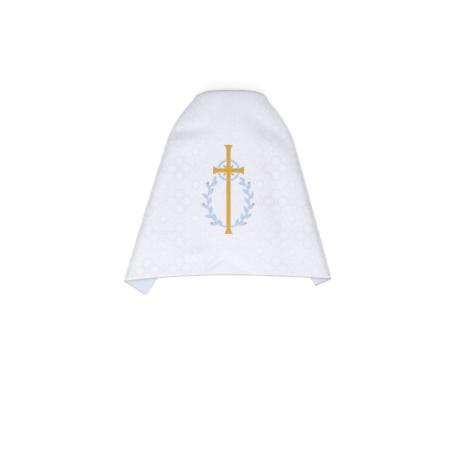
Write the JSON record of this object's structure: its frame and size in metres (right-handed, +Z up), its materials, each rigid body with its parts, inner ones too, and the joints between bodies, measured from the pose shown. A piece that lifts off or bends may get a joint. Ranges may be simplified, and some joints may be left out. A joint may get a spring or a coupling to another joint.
{
  "type": "humeral veil",
  "caption": "Long lined damask liturgical veil with an embroidered middle panel and piped edges, folded back and forth into a bell-shaped flat stack.",
  "frame": {"origin": "under the middle of the folded veil's bounding box, on the surface it lies on", "axes": "+Z up out of the face side, +Y from the hem towards the neck edge, +X towards the wearer's right, which is the right of the panel seen face on"},
  "size_m": [0.6844, 0.6774, 0.0411],
  "materials": {
    "damask": "white damask, tone on tone, satin figures on a duller ground",
    "lining_satin": "plain bluish white satin",
    "piping_cord": "dull rose-gold twisted cord"
  },
  "bodies": {
    "root": {"veil_face": "damask", "veil_lining": "lining_satin", "edge_piping": "piping_cord"}
  },
  "joints": []
}
